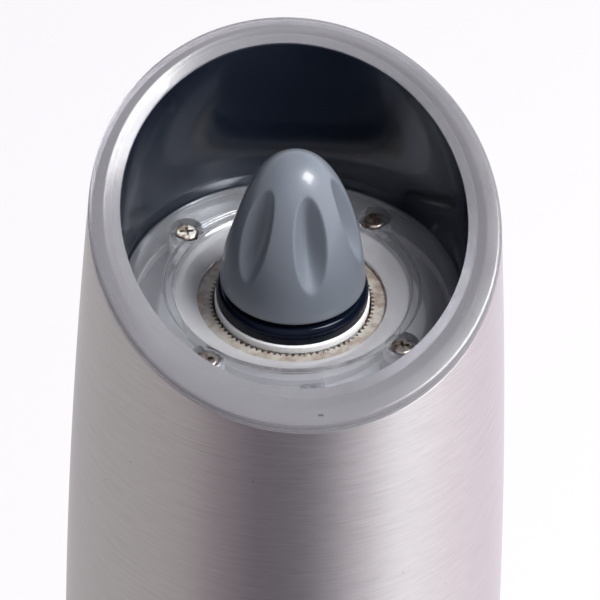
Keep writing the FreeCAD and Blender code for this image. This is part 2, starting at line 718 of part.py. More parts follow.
def make_led_leads():
    leads = []
    for angle in CONTACT_ANGLES:
        foot = polar(26.9, angle)
        corner = polar(26.9, angle, 175.75)
        upright = rod(0.45, 143.0, 175.75, foot)
        elbow = Part.makeSphere(0.45, corner)
        across = Part.makeCylinder(0.45, 5.5, corner, polar(-1.0, angle))
        leads.append(join(upright, elbow, across))
    return Part.makeCompound(leads)


def make_head_contacts():
    return Part.makeCompound([
        rod(1.0, NECK_TOP_Z + 0.45, SHELF_Z[0], polar(CONTACT_CIRCLE_R + 0.4, angle))
        for angle in CONTACT_ANGLES])


def make_mouth_wall():
    """Dark cylinder that lines the mouth, with the ledge that the disc rests on."""
    wall = pipe(WALL_R, MOUTH_R - 0.05, HOUSING_TOP_Z + 0.1, RIM_CLEAR_Z)
    wall = wall.common(below_slant(LIP_AXIS_Z - WALL_DROP))
    ledge = pipe(MOUTH_R, 21.6, HOUSING_TOP_Z + 0.1, 178.95)
    return join(wall, ledge)


def make_mouth_ring():
    """Clear lip: an inner band, a slightly lower outer band and a skirt inside the steel."""
    inner_top = below_slant(LIP_AXIS_Z)
    outer_top = below_slant(LIP_AXIS_Z - LIP_DROP)
    seat = below_slant(LIP_AXIS_Z - LIP_DROP - LIP_EDGE)
    wall_top = below_slant(LIP_AXIS_Z - WALL_DROP)
    skirt_end = below_slant(LIP_AXIS_Z - SKIRT_DROP)
    inner_band = body_core(OUTER_BAND, 150.0, RIM_CLEAR_Z).common(inner_top)
    outer_band = body_core(0.0, 150.0, RIM_CLEAR_Z).common(outer_top)
    crown = inner_band.fuse(outer_band).cut(seat)
    skirt = body_core(STEEL + 0.05, 150.0, RIM_CLEAR_Z).common(seat).cut(skirt_end)
    ring = join(crown, skirt)
    wall_space = rod(WALL_R + 0.1, 150.0, RIM_CLEAR_Z).common(wall_top)
    return ring.cut([rod(MOUTH_R, 150.0, RIM_CLEAR_Z), wall_space])


# ---------------------------------------------------------------- burr, spindle and knob
THREAD_R = 2.92          # M6 thread, drawn as a plain rod
SQUARE_HALF = 3.0        # the burr slides up and down this square
ROTOR_Z = (169.0, 180.7)
ROTOR_R = 10.65


def make_burr_spindle():
    socket = rod(5.0, 149.6, 159.6)
    journal = rod(3.0, 159.6, 168.0)
    square = block(2 * SQUARE_HALF, 2 * SQUARE_HALF, 168.0, 180.4)
    thread = rod(THREAD_R, 180.4, 197.0)
    hole = block(2 * DRIVE_HALF + 0.3, 2 * DRIVE_HALF + 0.3, 149.0, SHAFT_TOP_Z + 0.6)
    spindle = join(socket, journal, square, thread).cut(hole)
    return rounded(spindle, 0.6, flat_circle(THREAD_R, 197.0))


def make_spindle_clip():
    clip = pipe(5.3, 3.02, 166.3, 167.1)
    return clip.cut(block(5.0, 1.6, 166.0, 168.0, polar(4.8, 0.0)))


SPRING_Z = (167.2, 171.8)


def make_burr_spring():
    return coil_spring(4.85, 0.32, 3.0, *SPRING_Z)


def star(points, tip_r, root_r, z, turn):
    """Closed outline with blunt ridges, used as a section of the cone's coarse teeth."""
    outline = []
    for index in range(points):
        for radius, share in ((root_r, 0.0), (tip_r, 0.35), (tip_r, 0.6)):
            angle = turn + 2 * pi * (index + share) / points
            outline.append(Vector(radius * cos(angle), radius * sin(angle), z))
    return Part.makePolygon(outline + outline[:1])


def make_inner_burr():
    """Ceramic cone: coarse slanted ridges below, fine teeth above and a plain rim."""
    ridges = 10
    lower = star(ridges, 7.9, 6.9, ROTOR_Z[0], 0.0)
    upper = star(ridges, 9.9, 9.3, 176.0, radians(24.0))
    cone = Part.makeLoft([lower, upper], True, True)
    fine = toothed_hole(60, ROTOR_R - 0.05, ROTOR_R - 0.55, 176.0, 179.5)
    rim = rod(ROTOR_R, 179.5, ROTOR_Z[1])
    rim = rounded(rim, 0.3, flat_circle(ROTOR_R, ROTOR_Z[1]))
    square = block(2 * SQUARE_HALF + 0.1, 2 * SQUARE_HALF + 0.1, 168.0, 182.0)
    pocket = rod(5.6, 168.0, SPRING_Z[1])
    return join(cone, fine, rim).cut([square, pocket])


def make_retainer_ring():
    """Black ring between the burr and the knob, with a rounded shoulder."""
    z0 = ROTOR_Z[1]
    ring = turned([(4.4, z0), (10.46, z0), (10.46, z0 + 1.7), (9.9, z0 + 2.4), (4.4, z0 + 2.4)])
    return rounded(ring, 0.25, flat_circle(10.46, z0 + 1.7))


def knob_radius(height):
    """Bullet outline: straight at the base, round at the tip."""
    share = min(1.0, max(0.0, height / KNOB_HEIGHT))
    return KNOB_R * (1 - share ** 1.42) ** 0.419


def make_knob():
    steps = 12
    sine = [sin(pi / 2 * step / steps) for step in range(steps + 1)]
    points = [Vector(knob_radius(KNOB_HEIGHT * s), 0, KNOB_BASE_Z + KNOB_HEIGHT * s) for s in sine]
    curve = Part.BSplineCurve()
    curve.interpolate(points)
    neck_z = ROTOR_Z[1] + 2.45
    neck_r = 9.0
    outline = [
        curve.toShape(),
        Part.makeLine(points[-1], Vector(0, 0, neck_z)),
        Part.makeLine(Vector(0, 0, neck_z), Vector(neck_r, 0, neck_z)),
        Part.makeLine(Vector(neck_r, 0, neck_z), Vector(neck_r, 0, KNOB_BASE_Z)),
        Part.makeLine(Vector(neck_r, 0, KNOB_BASE_Z), points[0])]
    bullet = Part.Face(Part.Wire(outline)).revolve(Vector(0, 0, 0), UP, 360)
    low = 5.5
    high = 18.2
    tool_r = 2.9
    foot = Vector(knob_radius(low), 0, KNOB_BASE_Z + low)
    head = Vector(knob_radius(high), 0, KNOB_BASE_Z + high)
    along = (head - foot).normalize()
    outward = Vector(along.z, 0, -along.x)
    start = foot + outward * tool_r - along * 12.0
    flute = Part.makeCylinder(tool_r, 40.0, start, along)
    bullet = bullet.cut(ring_of(flute, FLUTES, FLUTE_PHASE))
    return bullet.cut([rod(4.25, neck_z - 1, 194.6), rod(3.3, 190.0, 199.0)])


def make_knob_insert():
    return pipe(4.2, THREAD_R + RUNNING_GAP, ROTOR_Z[1] + 2.6, 194.4)


# ---------------------------------------------------------------- write the parts
NODES = {
    "foot_ring": make_foot_ring(),
    "base_sleeve": make_base_sleeve(),
    "base_liner": make_base_liner(),
    "battery_frame": make_battery_frame(),
    "aaa_cells": make_cells(),
    "battery_springs": make_battery_springs(),
    "contact_plates": make_contact_plates(),
    "motor_can": make_motor_can(),
    "motor_end_cap": make_motor_end_cap(),
    "motor_terminals": make_motor_terminals(),
    "motor_magnets": make_motor_magnets(),
    "motor_bushes": make_motor_bushes(),
    "motor_leads": make_motor_leads(),
    "ring_gear": make_ring_gear(),
    "gearbox_cover": make_gearbox_cover(),
    "output_bush": make_output_bush(),
    "control_board": make_control_board(),
    "tilt_switch_tube": make_tilt_switch(),
    "tilt_ball": make_tilt_ball(),
    "core_collar": make_core_collar(),
    "frame_screws": make_frame_screws(),
    "hopper": make_hopper(),
    "hopper_screws": make_hopper_screws(),
    "hopper_seals": make_hopper_seals(),
    "core_contacts": make_core_contacts(),
    "motor_armature": make_motor_armature(),
    "motor_shaft": make_motor_shaft(),
    "sun_gear": make_sun_gear(),
    "stage1_carrier": make_stage1_carrier(),
    "stage2_carrier": make_stage2_carrier(),
    "shaft_coupling": make_shaft_coupling(),
    "drive_shaft": make_drive_shaft(),
    "feed_paddle": make_feed_paddle(),
    "head_sleeve": make_head_sleeve(),
    "head_liner": make_head_liner(),
    "mouth_ring": make_mouth_ring(),
    "mouth_wall": make_mouth_wall(),
    "light_disc": make_light_disc(),
    "disc_screws": make_disc_screws(),
    "led_board": make_led_board(),
    "led": make_led(),
    "led_leads": make_led_leads(),
    "burr_housing": make_burr_housing(),
    "housing_screws": make_housing_screws(),
    "outer_burr": make_outer_burr(),
    "spindle_bush": make_spindle_bush(),
    "head_contacts": make_head_contacts(),
    "burr_spindle": make_burr_spindle(),
    "spindle_clip": make_spindle_clip(),
    "burr_spring": make_burr_spring(),
    "inner_burr": make_inner_burr(),
    "retainer_ring": make_retainer_ring(),
    "adjuster_knob": make_knob(),
    "knob_insert": make_knob_insert(),
}
for number in range(PLANETS):
    letter = "abc"[number]
    NODES["stage1_planet_" + letter] = planet_gear(number, *STAGE_1_Z, PIN_R + RUNNING_GAP)
    NODES["stage2_planet_" + letter] = planet_gear(number, *STAGE_2_Z, PIN_R + RUNNING_GAP)

os.makedirs("parts", exist_ok=True)
for node, shape in NODES.items():
    save(node, shape)
print(len(NODES), "parts written")
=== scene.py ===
from math import cos, hypot, pi, radians, sin, sqrt, tan

import bmesh
import bpy
from mathutils import Matrix, Vector


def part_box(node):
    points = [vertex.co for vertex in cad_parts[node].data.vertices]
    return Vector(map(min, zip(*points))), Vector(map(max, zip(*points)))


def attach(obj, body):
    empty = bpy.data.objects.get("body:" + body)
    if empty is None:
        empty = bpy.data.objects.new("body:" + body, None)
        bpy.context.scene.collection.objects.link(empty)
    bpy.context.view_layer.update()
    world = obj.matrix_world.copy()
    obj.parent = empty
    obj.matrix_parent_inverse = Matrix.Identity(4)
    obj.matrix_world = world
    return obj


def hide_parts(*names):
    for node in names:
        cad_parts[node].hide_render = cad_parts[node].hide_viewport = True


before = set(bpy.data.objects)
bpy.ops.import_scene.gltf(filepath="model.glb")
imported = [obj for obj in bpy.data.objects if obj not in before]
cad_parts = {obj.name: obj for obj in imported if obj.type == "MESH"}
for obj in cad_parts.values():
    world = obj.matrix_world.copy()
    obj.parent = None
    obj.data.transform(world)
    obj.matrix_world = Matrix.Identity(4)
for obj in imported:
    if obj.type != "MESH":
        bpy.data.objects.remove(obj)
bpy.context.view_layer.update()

# ---------------------------------------------------------------- sizes, in metres, from the frame
MM = 0.001
DISC_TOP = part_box("light_disc")[1][2]
DISC_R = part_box("light_disc")[1][0]
BODY_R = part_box("base_sleeve")[1][0]
BASE_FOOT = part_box("base_sleeve")[0][2]
BASE_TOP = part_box("base_sleeve")[1][2]
HEAD_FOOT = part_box("head_sleeve")[0][2]
WALL_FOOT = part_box("mouth_wall")[0][2]
WALL_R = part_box("mouth_wall")[1][0]
RING_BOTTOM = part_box("retainer_ring")[0][2]
RING_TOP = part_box("retainer_ring")[1][2]
RING_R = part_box("retainer_ring")[1][0]
KNOB_FOOT, KNOB_TIP = (corner[2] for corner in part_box("adjuster_knob"))
KNOB_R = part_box("adjuster_knob")[1][0]
KNOB_BASE = DISC_TOP + 1.3 * MM     # lower edge of the knob's skirt

TAPER_START = 77.0 * MM             # height where the body starts to narrow
TAPER_ARC_R = 1346.0 * MM           # radius of the long arc it narrows along
STEEL = 0.6 * MM                    # thickness of the sleeves
SLANT = tan(radians(24.6))          # slope of the mouth
LIP_AXIS = DISC_TOP + 13.95 * MM    # height of the lip's plane on the mill's axis
MOUTH_R = 23.4 * MM
LIP_SIDE = 1.1 * MM                 # height of the lip's outer side above the steel
OUTER_DROP = 0.15 * MM
LIP_SEAT = LIP_AXIS - OUTER_DROP - LIP_SIDE     # plane where the lip rests on the steel
OUTER_BAND = 2.0 * MM               # width of the lip's outer band
WALL_DROP = 1.0 * MM                # from the lip's plane down to the lining's top
SKIRT_DROP = 8.0 * MM               # from the lip's plane down to the end of its skirt
SEAM = 0.05 * MM                    # air left between two pieces that rest on each other
EDGE = 0.1 * MM                     # small fillet of a moulded edge
WELD = 1e-6                         # points nearer than this, in metres, are one point
CREASE = 35                         # degrees; an edge sharper than this is drawn hard
SCREW_CIRCLE_R = 18.7 * MM
DISH_R = 16.35 * MM                 # where the disc's flat ring ends and its dish starts
SCREW_ANGLES = (45, 135, 225, 315)
FLUTES = 6
FLUTE_PHASE = radians(39.25)


def body_radius(z):
    rise = max(0.0, z - TAPER_START)
    return BODY_R - rise * rise / (2 * TAPER_ARC_R)


# ---------------------------------------------------------------- mesh building
def finish_mesh(name, bm, body, replaced, crease=CREASE):
    """Turns a bmesh into a piece that rides on a body and stands for CAD nodes."""
    bmesh.ops.remove_doubles(bm, verts=bm.verts, dist=WELD)
    bmesh.ops.recalc_face_normals(bm, faces=bm.faces)
    mesh = bpy.data.meshes.new(name)
    bm.to_mesh(mesh)
    bm.free()
    piece = bpy.data.objects.new(name, mesh)
    bpy.context.scene.collection.objects.link(piece)
    soften(mesh, crease)
    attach(piece, body)
    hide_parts(*replaced)
    return piece


def soften(mesh, crease):
    """Smooth shading, apart from edges sharper than the crease angle in degrees."""
    for face in mesh.polygons:
        face.use_smooth = True
    mesh.set_sharp_from_angle(angle=radians(crease))


def swept(sections, closed=True):
    """Mesh through a ring of sections, each a list of points of the same length."""
    bm = bmesh.new()
    rows = [[bm.verts.new(point) for point in section] for section in sections]
    count = len(sections)
    width = len(sections[0])
    for index in range(count):
        here = rows[index]
        there = rows[(index + 1) % count]
        for step in range(width if closed else width - 1):
            beside = (step + 1) % width
            bm.faces.new((here[step], there[step], there[beside], here[beside]))
    return bm


def lathe(outline, count=192):
    """Solid of revolution from a closed list of (radius, z)."""
    sections = []
    for index in range(count):
        turn = 2 * pi * index / count
        sections.append([(r * cos(turn), r * sin(turn), z) for r, z in outline])
    return swept(sections)


def rounded(corners, steps=5):
    """Closed outline from (radius, z, fillet) corners, with every fillet drawn as an arc."""
    outline = []
    count = len(corners)
    for index, (x, y, fillet) in enumerate(corners):
        here = Vector((x, y))
        if fillet <= 0:
            outline.append((x, y))
            continue
        before = Vector(corners[index - 1][:2]) - here
        after = Vector(corners[(index + 1) % count][:2]) - here
        reach = min(fillet, 0.45 * before.length, 0.45 * after.length)
        start = here + before.normalized() * reach
        end = here + after.normalized() * reach
        for step in range(steps + 1):
            t = step / steps
            point = start.lerp(here, t).lerp(here.lerp(end, t), t)
            outline.append((point.x, point.y))
    return outline


def slanted(corners_at, count=256):
    """Ring whose cross-section changes with the angle: corners_at(turn) gives its corners."""
    sections = []
    for index in range(count):
        turn = 2 * pi * index / count
        outline = rounded(corners_at(turn))
        sections.append([(r * cos(turn), r * sin(turn), z) for r, z in outline])
    return swept(sections)


def on_body(turn, axis_z, inset=0.0):
    """Radius and height where a slanted plane meets the body's outline at one angle."""
    radius = body_radius(axis_z)
    for _ in range(8):
        radius = body_radius(axis_z + SLANT * radius * sin(turn)) - inset
    return radius, axis_z + SLANT * radius * sin(turn)


# ---------------------------------------------------------------- shader building
MIX_FIRST, MIX_SECOND, MIX_RESULT = 6, 7, 2      # colour sockets of the Mix node
FINE_BRUSHING = (260.0, 260.0, 8000.0)           # repeats per metre: x, y and along the height
BROAD_BRUSHING = (90.0, 90.0, 3000.0)
SPECK = (0.12, 0.10, 0.08)
PEPPER_DUST = (0.16, 0.10, 0.06)
GRAIN_DEPTH = 0.04 * MM


def shade(tint, factor):
    return tuple(min(1.0, factor * channel) for channel in tint)


class Shader:
    """A material's node tree, with short names for the nodes used here."""

    def __init__(self, name):
        self.material = bpy.data.materials.new(name)
        self.material.use_nodes = True
        self.tree = self.material.node_tree
        self.bsdf = self.tree.nodes["Principled BSDF"]

    def node(self, kind, **inputs):
        made = self.tree.nodes.new(kind)
        for key, value in inputs.items():
            self.feed(made.inputs[key.replace("_", " ")], value)
        return made

    def feed(self, socket, value):
        if isinstance(value, bpy.types.NodeSocket):
            self.tree.links.new(value, socket)
        elif isinstance(value, tuple) and len(value) == 3 and len(socket.default_value) == 4:
            socket.default_value = value + (1.0,)
        else:
            socket.default_value = value

    def set(self, **inputs):
        for key, value in inputs.items():
            self.feed(self.bsdf.inputs[key.replace("_", " ")], value)
        return self

    def coords(self, scale=(1.0, 1.0, 1.0)):
        place = self.node("ShaderNodeTexCoord")
        mapping = self.node("ShaderNodeMapping", Vector=place.outputs["Object"], Scale=scale)
        return mapping.outputs["Vector"]

    def noise(self, scale, stretch=(1.0, 1.0, 1.0), detail=3.0, roughness=0.5):
        made = self.node("ShaderNodeTexNoise", Vector=self.coords(stretch), Scale=scale,
                         Detail=detail, Roughness=roughness)
        return made.outputs["Fac"]

    def ramp(self, value, low, high, low_at=0.3, high_at=0.7):
        made = self.node("ShaderNodeMapRange", Value=value)
        made.interpolation_type = "SMOOTHSTEP"
        for key, number in (("From Min", low_at), ("From Max", high_at), ("To Min", low), ("To Max", high)):
            made.inputs[key].default_value = number
        return made.outputs["Result"]

    def blend(self, factor, one, two):
        made = self.tree.nodes.new("ShaderNodeMix")
        made.data_type = "RGBA"
        self.feed(made.inputs["Factor"], factor)
        self.feed(made.inputs[MIX_FIRST], one)
        self.feed(made.inputs[MIX_SECOND], two)
        return made.outputs[MIX_RESULT]

    def math(self, operation, one, two):
        made = self.node("ShaderNodeMath")
        made.operation = operation
        self.feed(made.inputs[0], one)
        self.feed(made.inputs[1], two)
        return made.outputs[0]

    def bump(self, height, strength, distance):
        made = self.node("ShaderNodeBump", Height=height, Strength=strength, Distance=distance)
        self.set(Normal=made.outputs["Normal"])
        return self


def brushed_steel(name, tint):
    """Steel brushed round the body: long thin streaks along the circumference."""
    s = Shader(name)
    fine = s.noise(1.0, FINE_BRUSHING, detail=4.0, roughness=0.7)
    broad = s.noise(1.0, BROAD_BRUSHING, detail=3.0, roughness=0.6)
    smudge = s.noise(28.0, detail=2.0)
    speck = s.noise(900.0, detail=1.0)
    streaks = s.blend(s.ramp(fine, 0.0, 1.0), shade(tint, 0.84), tint)
    streaks = s.blend(s.ramp(broad, 0.0, 0.30), streaks, shade(tint, 1.12))
    streaks = s.blend(s.ramp(speck, 0.0, 0.4, low_at=0.80, high_at=0.82), streaks, SPECK)
    s.set(Base_Color=streaks, Metallic=1.0, Anisotropic=0.75, Anisotropic_Rotation=0.25)
    s.set(Roughness=s.math("ADD", s.ramp(fine, 0.285, 0.345), s.ramp(smudge, 0.0, 0.03)))
    tangent = s.tree.nodes.new("ShaderNodeTangent")
    tangent.direction_type = "RADIAL"
    tangent.axis = "Z"
    s.set(Tangent=tangent.outputs["Tangent"])
    s.bump(fine, 0.25, 0.03 * MM)
    return s.material


def plain_metal(name, tint, roughness, stain=None):
    """Bare metal with a little wear, and stained in patches where a stain is given."""
    s = Shader(name)
    wear = s.noise(700.0, detail=4.0)
    colour = s.blend(s.ramp(wear, 0.0, 1.0), shade(tint, 0.7), tint)
    if stain:
        patches = s.noise(1100.0, detail=2.0)
        colour = s.blend(s.ramp(patches, 0.0, 0.85, low_at=0.48, high_at=0.62), colour, stain)
    s.set(Base_Color=colour, Metallic=1.0, Roughness=s.ramp(wear, roughness * 0.96, roughness * 1.3))
    s.bump(wear, 0.15, 0.05 * MM)
    return s.material


def moulded(name, tint, roughness, coat=0.0, grain=0.12, grain_scale=1800.0):
    """Moulded plastic: a faint grain, and slight clouds in its colour and gloss."""
    s = Shader(name)
    cloud = s.noise(60.0, detail=3.0)
    fine = s.noise(grain_scale, detail=3.0)
    clouds = s.ramp(cloud, 0.0, 1.0, low_at=0.0, high_at=1.0)
    colour = s.blend(clouds, shade(tint, 0.88), shade(tint, 1.12))
    s.set(Base_Color=colour, Roughness=s.ramp(cloud, roughness * 0.85, roughness * 1.15))
    s.set(Coat_Weight=coat, Coat_Roughness=0.06)
    s.bump(fine, grain, GRAIN_DEPTH)
    return s.material


def clear_plastic(name, tint, roughness, transmission=1.0, ior=1.49):
    """Clear plastic; a transmission below 1 makes it milky."""
    s = Shader(name)
    haze = s.noise(90.0, detail=3.0)
    grain = s.noise(2600.0, detail=2.0)
    clouds = s.ramp(haze, 0.0, 1.0, low_at=0.0, high_at=1.0)
    s.set(Base_Color=s.blend(clouds, shade(tint, 0.93), tint))
    s.set(Transmission_Weight=transmission, IOR=ior)
    s.set(Roughness=s.ramp(haze, roughness * 0.78, roughness * 1.22))
    s.bump(grain, 0.04, 0.02 * MM)
    return s.material


def two_tone_board(name, inside, outside, radius):
    """Board whose mask is one colour near the middle and another beyond a radius."""
    s = Shader(name)
    place = s.node("ShaderNodeTexCoord")
    flat = s.node("ShaderNodeVectorMath", Vector=place.outputs["Object"])
    flat.operation = "MULTIPLY"
    flat.inputs[1].default_value = (1.0, 1.0, 0.0)
    length = s.node("ShaderNodeVectorMath", Vector=flat.outputs["Vector"])
    length.operation = "LENGTH"
    weave = s.noise(2500.0, detail=2.0)
    edge = s.ramp(length.outputs["Value"], 0.0, 1.0, low_at=radius, high_at=radius + 0.6 * MM)
    colour = s.blend(edge, inside, outside)
    fibre = (0.3, 0.3, 0.32)
    s.set(Base_Color=s.blend(s.ramp(weave, 0.0, 0.12), colour, fibre), Roughness=0.35)
    s.bump(weave, 0.1, GRAIN_DEPTH)
    return s.material


def ceramic(name, tint, dust_low, dust_high):
    """Unglazed ceramic, with brown pepper dust that thins out between two heights."""
    s = Shader(name)
    grain = s.noise(1500.0, detail=4.0)
    colour = s.blend(s.ramp(grain, 0.0, 1.0), shade(tint, 0.93), tint)
    place = s.node("ShaderNodeTexCoord")
    split = s.node("ShaderNodeSeparateXYZ", Vector=place.outputs["Object"])
    dust = s.ramp(split.outputs["Z"], 1.0, 0.0, low_at=dust_low, high_at=dust_high)
    patches = s.ramp(s.noise(420.0, detail=5.0, roughness=0.65), 0.15, 1.0, low_at=0.40, high_at=0.62)
    colour = s.blend(s.math("MULTIPLY", dust, patches), colour, PEPPER_DUST)
    s.set(Base_Color=colour, Roughness=0.38, Subsurface_Weight=0.15, Subsurface_Scale=MM)
    s.bump(grain, 0.2, GRAIN_DEPTH)
    return s.material


def set_sockets(material, values):
    """Gives sockets of a finished material uniform values."""
    for socket, value in values.items():
        material.node_tree.nodes["Principled BSDF"].inputs[socket].default_value = value


STEEL_SKIN = brushed_steel("brushed_steel_skin", (0.66, 0.64, 0.645))
CLEAR = clear_plastic("clear_acrylic", (0.95, 0.96, 0.98), 0.06)
DISC_CLEAR = clear_plastic("disc_acrylic", (0.90, 0.91, 0.95), 0.10, transmission=0.88)
DISC_HAZY = clear_plastic("disc_acrylic_hazy", (0.95, 0.95, 0.98), 0.15, transmission=0.66)
LIP_FACE = clear_plastic("lip_satin", (0.63, 0.62, 0.655), 0.222, transmission=0.72)
WALL_GLOSS = moulded("wall_gloss", (0.006, 0.009, 0.017), 0.12, grain=0.02)
set_sockets(WALL_GLOSS, {"IOR": 1.75, "Specular Tint": (0.84, 0.91, 1.0, 1.0)})
BLACK_GLOSS = moulded("black_gloss_plastic", (0.003, 0.005, 0.012), 0.08, grain=0.02)
set_sockets(BLACK_GLOSS, {"Specular IOR Level": 0.18, "Specular Tint": (0.8, 0.88, 1.0, 1.0)})
BLACK_MATTE = moulded("black_plastic", (0.02, 0.02, 0.021), 0.5)
KNOB_GREY = moulded("knob_plastic", (0.160, 0.182, 0.212), 0.34, coat=0.25, grain=0.06, grain_scale=2500.0)
WHITE_PLASTIC = moulded("white_plastic", (0.78, 0.78, 0.77), 0.4)
CERAMIC_WHITE = ceramic("rotor_ceramic", (0.97, 0.96, 0.95), dust_low=178.6 * MM, dust_high=179.2 * MM)
CERAMIC_STAINED = ceramic("stator_ceramic", (0.44, 0.415, 0.38), dust_low=179.0 * MM, dust_high=180.6 * MM)
RUBBER = moulded("rubber", (0.018, 0.018, 0.018), 0.7, grain=0.3)
NICKEL = plain_metal("nickel", (0.66, 0.62, 0.56), 0.30)
NICKEL_STAINED = plain_metal("pepper_stained_nickel", (0.70, 0.65, 0.59), 0.30, PEPPER_DUST)
BRASS = plain_metal("brass", (0.75, 0.56, 0.27), 0.30)
FERRITE = moulded("ferrite", (0.03, 0.03, 0.032), 0.6)
WIRE_RED = moulded("wire_insulation", (0.42, 0.02, 0.02), 0.45)
GEAR_CREAM = moulded("acetal", (0.72, 0.69, 0.60), 0.35)
BOARD_GREEN = moulded("solder_mask_green", (0.02, 0.13, 0.045), 0.35)
BOARD_WHITE = two_tone_board("solder_mask_two_tone", inside=(0.80, 0.80, 0.80),
                             outside=(0.10, 0.10, 0.12), radius=18.2 * MM)
LED_LENS = clear_plastic("led_lens", (0.90, 0.93, 1.0), 0.08, transmission=0.8)
CELL_WRAP = moulded("cell_sleeve", (0.035, 0.045, 0.07), 0.22)

NODE_MATERIALS = {
    "foot_ring": RUBBER, "base_liner": BLACK_MATTE, "battery_frame": BLACK_MATTE,
    "aaa_cells": CELL_WRAP, "battery_springs": NICKEL, "contact_plates": NICKEL,
    "motor_can": NICKEL, "motor_end_cap": BLACK_MATTE, "motor_terminals": BRASS,
    "motor_magnets": FERRITE, "motor_bushes": BRASS, "motor_leads": WIRE_RED,
    "ring_gear": GEAR_CREAM, "gearbox_cover": BLACK_MATTE, "frame_screws": NICKEL,
    "output_bush": BRASS, "control_board": BOARD_GREEN, "tilt_switch_tube": NICKEL,
    "core_collar": BLACK_MATTE, "hopper": CLEAR, "hopper_screws": NICKEL,
    "hopper_seals": RUBBER, "core_contacts": BRASS, "motor_armature": NICKEL,
    "motor_shaft": NICKEL, "sun_gear": BRASS, "stage1_carrier": GEAR_CREAM,
    "stage1_planet_a": GEAR_CREAM, "stage1_planet_b": GEAR_CREAM, "stage1_planet_c": GEAR_CREAM,
    "stage2_carrier": GEAR_CREAM, "stage2_planet_a": GEAR_CREAM, "stage2_planet_b": GEAR_CREAM,
    "stage2_planet_c": GEAR_CREAM, "shaft_coupling": WHITE_PLASTIC, "drive_shaft": NICKEL,
    "feed_paddle": WHITE_PLASTIC, "tilt_ball": NICKEL, "head_liner": BLACK_MATTE,
    "disc_screws": NICKEL_STAINED, "led_board": BOARD_WHITE, "led": LED_LENS,
    "led_leads": WIRE_RED, "burr_housing": WHITE_PLASTIC, "housing_screws": NICKEL,
    "outer_burr": CERAMIC_STAINED, "spindle_bush": BRASS, "head_contacts": BRASS,
    "burr_spindle": NICKEL, "spindle_clip": NICKEL, "burr_spring": NICKEL,
    "inner_burr": CERAMIC_WHITE, "knob_insert": BRASS,
}
for node, finish in NODE_MATERIALS.items():
    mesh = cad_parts[node].data
    mesh.materials.clear()
    mesh.materials.append(finish)


# ---------------------------------------------------------------- sleeves
def paint(piece, *finishes):
    for finish in finishes:
        piece.data.materials.append(finish)


def make_head_sleeve():
    """Steel skin with a slanted top edge, in rings so that its long arc stays smooth."""
    levels = 24
    edge = 0.15 * MM

    def corners(turn):
        top_r, top_z = on_body(turn, LIP_SEAT)
        heights = [HEAD_FOOT + (top_z - HEAD_FOOT) * step / levels for step in range(levels + 1)]
        outer = [(body_radius(z), z, 0.0) for z in heights[1:-1]]
        inner = [(r - STEEL, z, 0.0) for r, z, _ in reversed(outer)]
        foot_r = body_radius(HEAD_FOOT)
        inner_top_z = top_z - SLANT * STEEL * sin(turn)
        return ([(foot_r, HEAD_FOOT, edge)] + outer + [(top_r, top_z, edge)]
                + [(top_r - STEEL, inner_top_z, edge)] + inner + [(foot_r - STEEL, HEAD_FOOT, edge)])

    piece = finish_mesh("head_sleeve_skin", slanted(corners), "head", ["head_sleeve"])
    paint(piece, STEEL_SKIN)


def make_base_sleeve():
    """Straight steel skin, folded in under the base."""
    levels = 8
    fold = 0.9 * MM
    rim = 0.2 * MM
    inner = BODY_R - STEEL
    lip_r = 31.0 * MM
    rise = BASE_TOP - BASE_FOOT
    middle = [(BODY_R, BASE_FOOT + rise * step / levels, 0.0) for step in range(1, levels)]
    outline = rounded(
        [(lip_r, BASE_FOOT, EDGE), (BODY_R, BASE_FOOT, fold)] + middle
        + [(BODY_R, BASE_TOP, rim), (inner, BASE_TOP, rim),
           (inner, BASE_FOOT + STEEL, EDGE), (lip_r, BASE_FOOT + STEEL, EDGE)])
    piece = finish_mesh("base_sleeve_skin", lathe(outline, 256), "base", ["base_sleeve"])
    paint(piece, STEEL_SKIN)


# ---------------------------------------------------------------- mouth
# Small marks left by the mould at the front of the lip: angle, radius, length and width.
MOULD_MARKS = (
    (270.5, 27.6 * MM, 0.7 * MM, 0.35 * MM),
    (267.5, 25.2 * MM, 1.6 * MM, 0.6 * MM),
)
MARK_HEIGHT = 0.4 * MM


def make_mouth_ring():
    """Clear lip with a low ridge between its inner and outer bands, and a skirt inside the steel."""
    inner_dip = 0.85 * MM
    outer_dip = 0.10 * MM
    ridge_fillet = 0.2 * MM
    brow_fillet = 0.95 * MM
    mouth_fillet = 0.12 * MM
    slip = 0.05 * MM
    hold_r = WALL_R + 0.1 * MM
    wall_top = LIP_AXIS - WALL_DROP
    skirt_end = LIP_AXIS - SKIRT_DROP

    def corners(turn):
        ridge_r, ridge_z = on_body(turn, LIP_AXIS, OUTER_BAND)
        edge_r, edge_z = on_body(turn, LIP_AXIS - outer_dip)
        seat_r, seat_z = on_body(turn, LIP_SEAT)
        skirt_r, skirt_z = on_body(turn, skirt_end, STEEL + slip)
        slope = SLANT * sin(turn)
        return [
            (MOUTH_R, LIP_AXIS - inner_dip + slope * MOUTH_R, mouth_fillet),
            (ridge_r, ridge_z, ridge_fillet),
            (edge_r, edge_z, brow_fillet),
            (seat_r, seat_z, EDGE),
            (seat_r - STEEL - slip, seat_z - slope * STEEL, EDGE),
            (skirt_r, skirt_z, EDGE),
            (hold_r, skirt_end + slope * hold_r, EDGE),
            (hold_r, wall_top + slope * hold_r, EDGE),
            (MOUTH_R, wall_top + slope * MOUTH_R, EDGE)]

    piece = finish_mesh("mouth_ring_lip", slanted(corners, 512), "head", ["mouth_ring"])
    for degrees, radius, length, width in MOULD_MARKS:
        turn = radians(degrees)
        face = LIP_AXIS + SLANT * radius * sin(turn)
        cut_box(piece, (radius * cos(turn), radius * sin(turn), face), (width, length, MARK_HEIGHT), turn)
    soften(piece.data, CREASE)
    paint(piece, LIP_FACE)


